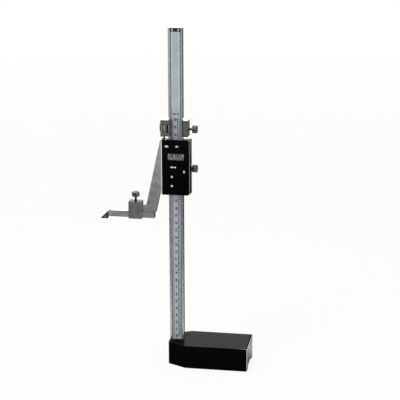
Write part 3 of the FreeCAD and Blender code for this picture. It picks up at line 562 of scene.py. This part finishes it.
def makeKnob(node, knob, values):
    boxLow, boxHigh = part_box(node)
    index = "xyz".index(knob["axis"])
    across = 2 - index
    radius = (boxHigh[across] - boxLow[across]) / 2
    high = boxHigh[index]
    low = high - knob["length"] * mm
    bm = bmesh.new()
    count = values["teeth"] * 2
    bmesh.ops.create_cone(bm, cap_ends=True, segments=count, radius1=radius, radius2=radius,
                          depth=high - low)
    bmesh.ops.translate(bm, verts=bm.verts[:], vec=(0, 0, (low + high) / 2))
    edge = values["chamfer"] * mm
    for row in range(values["rows"] + 1):
        cut = low + edge + (high - low - 2 * edge) * row / values["rows"]
        cutAcross(bm, (0, 0, cut), (0, 0, 1))
    shapeKnurl(bm, radius, low, high, values)
    hollowEnds(bm, count, values)
    # Painted shade: the knurl's deep faces take the shank's near-black finish.
    for face in bm.faces:
        middle = face.calc_center_median()
        deep = math.hypot(middle.x, middle.y) < radius - values["depth"] * mm * values["shadeBelow"]
        if deep and abs(face.normal.z) < upright:
            face.material_index = 1
    shankLow = boxLow[index]
    shankHigh = low + values["overlap"] * mm
    thick = values["shank"] * mm
    shank = bmesh.ops.create_cone(bm, cap_ends=True, segments=values["sides"], radius1=thick,
                                  radius2=thick, depth=shankHigh - shankLow)["verts"]
    for face in {face for vert in shank for face in vert.link_faces}:
        face.material_index = 1
    bmesh.ops.translate(bm, verts=shank, vec=(0, 0, (shankLow + shankHigh) / 2))
    centre = Vector((0, 0, 0))
    centre[across] = (boxHigh[across] + boxLow[across]) / 2
    bmesh.ops.transform(bm, matrix=Matrix.Translation(centre) @ turnOf[knob["axis"]],
                        verts=bm.verts[:])
    piece = standIn(node, bm, "knobSteel", 40)
    piece.data.materials.append(finishes["shankSteelAndGrooveShade"])
    piece.data.materials.append(finishes[knob["cap"]])


for node, knob in knobs.items():
    makeKnob(node, knob, knobValues)

# The adjusting nut. The hollow in its ends is as wide as its bore and a collar.
nutValues = {"teeth": 22, "depth": 0.34, "chamfer": 0.5, "bore": 1.3, "collar": 1.0}


def makeNut(values):
    low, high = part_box("fine_adjust_nut")
    radius = (high.x - low.x) / 2
    bm = bmesh.new()
    count = values["teeth"] * 4
    bmesh.ops.create_cone(bm, cap_ends=True, segments=count, radius1=radius, radius2=radius,
                          depth=high.z - low.z)
    edge = values["chamfer"] * mm
    depth = values["depth"] * mm
    half = (high.z - low.z) / 2
    for cut in (-half + edge, half - edge):
        cutAcross(bm, (0, 0, cut), (0, 0, 1))
    for vert in bm.verts:
        angle = math.atan2(vert.co.y, vert.co.x)
        wave = 0.5 - 0.5 * math.cos(angle * values["teeth"])
        size = radius - edge if abs(vert.co.z) > half - edge + flush else radius
        size -= depth * (1 - wave)
        vert.co.x = math.cos(angle) * size
        vert.co.y = math.sin(angle) * size
    collar = radius - (values["bore"] + values["collar"]) * mm
    for cap in [face for face in bm.faces if len(face.verts) == count]:
        bmesh.ops.inset_region(bm, faces=[cap], thickness=collar, depth=0)
    # Painted shade: the bottoms of the nut's grooves take the near-black finish.
    for face in bm.faces:
        middle = face.calc_center_median()
        if abs(face.normal.z) < upright and math.hypot(middle.x, middle.y) < radius - depth / 2:
            face.material_index = 1
    bmesh.ops.translate(bm, vec=(low + high) / 2, verts=bm.verts[:])
    piece = standIn("fine_adjust_nut", bm, "ridgeSteel", 40)
    piece.data.materials.append(finishes["shankSteelAndGrooveShade"])


makeNut(nutValues)
print("knurled pieces made")

tipValues = {"rim": 1.5, "sunk": 0.25, "edge": 0.1}


def makeTip(values):
    bm = cleanCopy("carbide_tip")
    flats = [face for face in bm.faces if abs(face.normal.y) > along]
    bmesh.ops.inset_individual(bm, faces=flats, thickness=values["rim"] * mm,
                               depth=-values["sunk"] * mm, use_even_offset=True)
    for face in flats:
        face.material_index = 1
    piece = standIn("carbide_tip", bm, "carbide")
    piece.data.materials.append(finishes["groundCarbide"])
    bevelPiece(piece, values["edge"])


makeTip(tipValues)


# Printing: graduations, figures, key legends and the display's digits. "capHeight" is how high
# a capital of Blender's own font stands for a size of 1.
facing = Matrix.Rotation(math.radians(90), 4, "X")
inkThickness = 0.03
capHeight = 0.72


def addBar(bm, lowX, highX, lowZ, highZ, face):
    size = Matrix.Diagonal((highX - lowX, inkThickness, highZ - lowZ, 1))
    centre = Matrix.Translation(((lowX + highX) / 2, 0, (lowZ + highZ) / 2))
    bar = bmesh.ops.create_cube(bm, size=1, matrix=centre @ size)["verts"]
    bmesh.ops.scale(bm, vec=(mm, mm, mm), verts=bar)
    bmesh.ops.translate(bm, vec=(0, face - inkThickness * mm / 2, 0), verts=bar)


def addText(bm, words, height, x, z, face, weight=0.0, widest=None):
    curve = bpy.data.curves.new("words", "FONT")
    curve.body = words
    curve.size = height * mm / capHeight
    curve.align_x = "CENTER"
    curve.align_y = "CENTER"
    curve.extrude = inkThickness * mm / 2
    curve.offset = weight * mm
    curve.resolution_u = 2
    carrier = bpy.data.objects.new("words", curve)
    bpy.context.scene.collection.objects.link(carrier)
    bpy.context.view_layer.update()
    mesh = bpy.data.meshes.new_from_object(carrier)
    wide = carrier.dimensions.x / mm
    narrow = min(1.0, widest / wide) if widest else 1.0
    place = Matrix.Translation((x * mm, face - inkThickness * mm / 2, z * mm)) @ facing
    mesh.transform(place @ Matrix.Diagonal((narrow, 1, 1, 1)))
    bm.from_mesh(mesh)
    bpy.data.objects.remove(carrier)
    bpy.data.curves.remove(curve)
    bpy.data.meshes.remove(mesh)


# Marks are as long as the three metric and two inch lengths say, shortest first. "zero" is the
# height of both zeros. "frame" gives the left and right of the pale lines round the bare top, a
# painted highlight along the scale's edges.
scaleValues = {
    "zero": 37.8, "length": 300, "line": 0.34, "weight": 0.26,
    "metricEdge": -5.0, "metricMarks": (1.7, 2.1, 2.5), "metricFigure": 3.5,
    "metricFigureX": -0.45, "metricDrop": 2.0, "metricWidest": 3.0,
    "inchEdge": 6.0, "inchMarks": (0.9, 2.0), "inchLines": (0.22, 0.75), "inch": 25.4, "parts": 32,
    "inchFigure": 2.7, "inchFigureX": 2.75, "inchWidest": 2.3, "partFigure": 2.3,
    "partWeight": 0.2, "unitX": {"mm": -1.6, "in": 3.4}, "unitFigure": 2.6, "unitRise": 6,
    "unitWidest": 4.0, "frame": (-4.9, 4.7), "frameLine": 0.55, "frameFoot": 12.0, "frameTop": 1.0,
}


def addMetric(bm, face, values):
    half = values["line"] / 2
    edge = values["metricEdge"]
    for millimetre in range(values["length"] + 1):
        kind = 2 if millimetre % 10 == 0 else 1 if millimetre % 5 == 0 else 0
        z = values["zero"] + millimetre
        addBar(bm, edge, edge + values["metricMarks"][kind], z - half, z + half, face)
        if kind == 2:
            addText(bm, str(millimetre // 10), values["metricFigure"], values["metricFigureX"],
                    z - values["metricDrop"], face, values["weight"], values["metricWidest"])


def addInches(bm, face, values):
    edge = values["inchEdge"]
    inEighth = values["parts"] // 8
    steps = int(values["length"] / values["inch"] * values["parts"])
    for step in range(steps + 1):
        z = values["zero"] + step * values["inch"] / values["parts"]
        eighth = step // inEighth
        whole = step % inEighth == 0
        half = values["inchLines"][whole] / 2
        addBar(bm, edge - values["inchMarks"][whole], edge, z - half, z + half, face)
        if whole and eighth % 8:
            addText(bm, str(eighth % 8), values["partFigure"], values["inchFigureX"], z, face,
                    values["partWeight"])
        elif whole:
            addText(bm, str(eighth // 8), values["inchFigure"], values["inchFigureX"], z, face,
                    values["weight"], values["inchWidest"])


def makeScale(values):
    low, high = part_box("scale_strip")
    face = low.y
    top = values["zero"] + values["length"]
    bm = bmesh.new()
    addMetric(bm, face, values)
    addInches(bm, face, values)
    for words, x in values["unitX"].items():
        addText(bm, words, values["unitFigure"], x, top + values["unitRise"], face,
                values["partWeight"], values["unitWidest"])
    newPiece("scalePrint", bm, "scaleInk", "stand")
    # Painted highlight: pale lines along the edges of the scale's bare top.
    bm = bmesh.new()
    left, right = values["frame"]
    line = values["frameLine"]
    foot = top + values["frameFoot"]
    head = high.z / mm - values["frameTop"]
    addBar(bm, left, left + line, foot, head, face)
    addBar(bm, right - line, right, foot, head, face)
    addBar(bm, left + line, right - line, head - line, head, face)
    newPiece("scaleFrame", bm, "paleInk", "stand")


makeScale(scaleValues)

legendValues = {
    "unit": {"words": "mm", "height": 2.0, "width": 4.0},
    "zero": {"words": "ZERO", "height": 2.1, "width": 3.4},
    "power": {"words": "OFF  ON", "height": 1.7, "width": 6.9},
    "preset": {"words": "S", "height": 3.0, "width": 1.8},
}
legendWeight = 0.16
arrowValues = {"radius": 1.8, "turns": {"up": 0, "down": 180}}


def placeLegend(key, bm, rise, turn):
    low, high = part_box("button_" + key)
    centre = Matrix.Translation(((low.x + high.x) / 2, low.y - rise, (low.z + high.z) / 2))
    bmesh.ops.transform(bm, matrix=centre @ turn, verts=bm.verts[:])
    newPiece(key + "Legend", bm, "legendInk", "button_" + key)


def makeLegend(key, values):
    bm = bmesh.new()
    addText(bm, values["words"], values["height"], 0, 0, 0, weight=legendWeight)
    wide = max(vert.co.x for vert in bm.verts) - min(vert.co.x for vert in bm.verts)
    tall = max(vert.co.z for vert in bm.verts) - min(vert.co.z for vert in bm.verts)
    size = (values["width"] * mm / wide, 1, values["height"] * mm / tall)
    bmesh.ops.scale(bm, vec=size, verts=bm.verts)
    placeLegend(key, bm, 0, Matrix.Identity(4))


def makeArrow(key, turn, values):
    bm = bmesh.new()
    radius = values["radius"] * mm
    bmesh.ops.create_cone(bm, cap_ends=True, segments=3, radius1=radius, radius2=radius,
                          depth=inkThickness * mm)
    spin = Matrix.Rotation(math.radians(turn), 4, "Z")
    placeLegend(key, bm, inkThickness * mm / 2, facing @ spin)


for key, legend in legendValues.items():
    makeLegend(key, legend)
for key, turn in arrowValues["turns"].items():
    makeArrow(key, turn, arrowValues)

# The reading is the scriber's height over the underside. "border" is how wide the dark edge of
# the display is at its left, right and two ends.
displayValues = {"reading": "197.95", "height": 7.0, "width": 3.2, "pitch": 4.05, "line": 1.05,
                 "right": 11.4, "low": 285.0, "gap": 0.05, "point": 0.6, "border": (0.4, 0.8, 0.5)}
litBars = {"0": "abcdef", "1": "bc", "2": "abged", "3": "abgcd", "4": "fgbc", "5": "afgcd",
           "6": "afgedc", "7": "abc", "8": "abcdefg", "9": "abcdfg"}


def barsOf(x, values):
    line, gap = values["line"], values["gap"]
    low = values["low"]
    middle = low + values["height"] / 2
    top = low + values["height"]
    left, right = (x, x + line), (x + values["width"] - line, x + values["width"])
    between = (x + gap + line, x + values["width"] - line - gap)
    upper, lower = (middle + gap, top - gap), (low + gap, middle - gap)
    return {
        "a": (*between, top - line, top), "b": (*right, *upper), "c": (*right, *lower),
        "d": (*between, low, low + line), "e": (*left, *lower), "f": (*left, *upper),
        "g": (*between, middle - line / 2, middle + line / 2),
    }


def makeDisplay(values):
    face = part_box("lcd_panel")[0].y
    bm = bmesh.new()
    x = values["right"]
    low, point = values["low"], values["point"]
    for sign in reversed(values["reading"]):
        if sign == ".":
            left = x - (values["pitch"] - values["width"] + point) / 2
            addBar(bm, left, left + point, low, low + point, face)
            continue
        x -= values["pitch"]
        bars = barsOf(x, values)
        for bar in litBars[sign]:
            addBar(bm, *bars[bar], face)
    left, right, ends = values["border"]
    lensLow, lensHigh = (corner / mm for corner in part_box("lcd_lens"))
    addBar(bm, lensLow.x, lensLow.x + left, lensLow.z, lensHigh.z, face)
    addBar(bm, lensHigh.x - right, lensHigh.x, lensLow.z, lensHigh.z, face)
    addBar(bm, lensLow.x + left, lensHigh.x - right, lensLow.z, lensLow.z + ends, face)
    addBar(bm, lensLow.x + left, lensHigh.x - right, lensHigh.z - ends, lensHigh.z, face)
    newPiece("displayDigits", bm, "lcdInk", "slider")


makeDisplay(displayValues)
print("printing made")


# Camera, stage and light. Places are in metres.
cameraValues = {"place": (0.33183, -1.80533, 0.75865), "pitch": 16.17, "yaw": 9.45, "roll": -0.125,
                "lens": 130.17, "sensor": 36}
lampValues = {
    "key": {"place": (-1.2, -1.3, 2.1), "size": 1.3, "power": 22},
    "low": {"place": (-1.1, -1.9, 0.62), "size": 0.8, "power": 7},
    "fill": {"place": (1.9, -1.2, 1.1), "size": 1.2, "power": 8},
    "top": {"place": (0.0, 0.4, 2.2), "size": 1.4, "power": 12},
}
lampAim = Vector((0.0, 0.0, 0.23))


def makeCamera(values):
    data = bpy.data.cameras.new("camera")
    data.lens = values["lens"]
    data.sensor_width = values["sensor"]
    camera = bpy.data.objects.new("camera", data)
    camera.location = values["place"]
    turn = Matrix.Rotation(math.radians(values["yaw"]), 3, "Z")
    turn = turn @ Matrix.Rotation(math.radians(90 - values["pitch"]), 3, "X")
    turn = turn @ Matrix.Rotation(math.radians(values["roll"]), 3, "Z")
    camera.rotation_euler = turn.to_euler()
    bpy.context.scene.collection.objects.link(camera)
    bpy.context.scene.camera = camera


def makeLamp(name, values):
    data = bpy.data.lights.new(name, "AREA")
    data.size = values["size"]
    data.energy = values["power"]
    lamp = bpy.data.objects.new(name, data)
    lamp.location = values["place"]
    lamp.rotation_euler = (lampAim - lamp.location).to_track_quat("-Z", "Y").to_euler()
    bpy.context.scene.collection.objects.link(lamp)


# The camera sees white paper that clears with the distance. Glossy rays see lighter and darker
# fields on it, as studio cards would give: one behind the object, one on its left, one on its
# right and a ramp in front of it. A field rises over the first pair of "y" and falls over the
# second, and rises over its pair of "x".
floorValues = {
    "size": 6, "paper": 0.85, "shown": 0.88, "clear": (0.7, 2.5), "far": 0.04,
    "behind": {"light": 1.2, "y": ((0.02, 0.05), (0.07, 0.13))},
    "left": {"light": 1.1, "x": (-0.3, -0.5), "y": ((0.0, 0.08), (0.4, 0.6))},
    "right": {"light": 2.2, "x": (0.2, 0.4), "y": ((-0.7, -0.4), (-0.10, -0.02))},
    "front": [(0.0, 0.02), (0.05, 0.85), (0.18, 0.75), (0.30, 0.10), (0.50, 0.04), (0.66, 0.20),
              (0.85, 0.65)],
    "frontReach": (0.0, -1.6), "frontBlue": 0.94, "middle": (0.0, 0.01),
}


def paperAsSeen(shader, values):
    paper = shader.node("ShaderNodeBsdfDiffuse", None, {"Color": (values["paper"],) * 3 + (1,)})
    glow = shader.node("ShaderNodeEmission", None, {"Color": (1, 1, 1, 1), "Strength": 1.0})
    where = shader.node("ShaderNodeTexCoord", output=3)
    distance = shader.node("ShaderNodeVectorMath", {"operation": "LENGTH"}, {0: where}, output=1)
    clear = shader.spread(distance, *values["clear"]) * (1 - values["shown"]) + values["shown"]
    shown = shader.node("ShaderNodeMixShader", None, {0: clear, 1: paper, 2: glow})
    seen = shader.node("ShaderNodeLightPath")
    return shader.node("ShaderNodeMixShader", None, {0: seen, 1: paper, 2: shown})


def paperInGloss(shader, values):
    depth = shader.place("y")
    across = shader.place("x")
    behind, left, right = values["behind"], values["left"], values["right"]
    onRight = shader.spread(across, *right["x"]) * shader.band(depth, *right["y"])
    onLeft = shader.spread(across, *left["x"]) * shader.band(depth, *left["y"])
    inFront = shader.node("ShaderNodeValToRGB", {"ramp": [
        (place, (light, light, light * values["frontBlue"], 1))
        for place, light in values["front"]]}, {"Fac": shader.spread(depth, *values["frontReach"])})
    farLight = shader.node("ShaderNodeEmission", None, {
        "Strength": shader.band(depth, *behind["y"]) * behind["light"] + onLeft * left["light"]
        + values["far"]})
    nearLight = shader.node("ShaderNodeEmission", None, {"Color": inFront, "Strength": 1.0})
    rightLight = shader.node("ShaderNodeEmission", None, {"Strength": right["light"]})
    nearLight = shader.node("ShaderNodeMixShader", None, {0: onRight, 1: nearLight, 2: rightLight})
    side = shader.spread(depth, *values["middle"])
    return shader.node("ShaderNodeMixShader", None, {0: side, 1: nearLight, 2: farLight})


def makeFloor(values):
    bm = bmesh.new()
    bmesh.ops.create_grid(bm, x_segments=1, y_segments=1, size=values["size"])
    mesh = bpy.data.meshes.new("floor")
    bm.to_mesh(mesh)
    bm.free()
    floor = bpy.data.objects.new("floor", mesh)
    bpy.context.scene.collection.objects.link(floor)
    shader = Shader(bpy.data.materials.new("floorPaper"))
    mirrored = shader.node("ShaderNodeLightPath", output=3)
    surface = shader.node("ShaderNodeMixShader", None, {
        0: mirrored, 1: paperAsSeen(shader, values), 2: paperInGloss(shader, values)})
    shader.node("ShaderNodeOutputMaterial", None, {"Surface": surface})
    mesh.materials.append(shader.owner)


# The camera sees white. Glossy rays see a dim room, and a bright backdrop in "backdropDepth" and
# the heights of "band".
worldValues = {"room": 0.15, "backdrop": 2.6, "upper": 0.4, "diffuse": 0.55,
               "backdropDepth": (0.25, 0.75), "band": ((0.02, 0.10), (0.55, 0.70))}


def makeWorld(values):
    world = bpy.data.worlds.new("studio")
    bpy.context.scene.world = world
    shader = Shader(world)
    depth = shader.place("y", output=0)
    rise = shader.place("z", output=0)
    back = shader.spread(depth, *values["backdropDepth"])
    glow = back * shader.band(rise, *values["band"])
    above = shader.spread(rise, *values["band"][1])
    room = values["room"] + above * (values["upper"] - values["room"])
    room = room + glow * (values["backdrop"] - values["room"])
    mirrored = shader.node("ShaderNodeLightPath", output=3)
    light = mirrored * room + (1 - mirrored) * values["diffuse"]
    light = shader.maths("MAXIMUM", light, shader.node("ShaderNodeLightPath"))
    sky = shader.node("ShaderNodeBackground", None, {"Color": (1, 1, 1, 1), "Strength": light})
    shader.node("ShaderNodeOutputWorld", None, {"Surface": sky})


makeCamera(cameraValues)
makeFloor(floorValues)
makeWorld(worldValues)
for name, lamp in lampValues.items():
    makeLamp(name, lamp)
bpy.context.scene.view_settings.view_transform = "Standard"
print("stage lit")

bpy.context.view_layer.update()
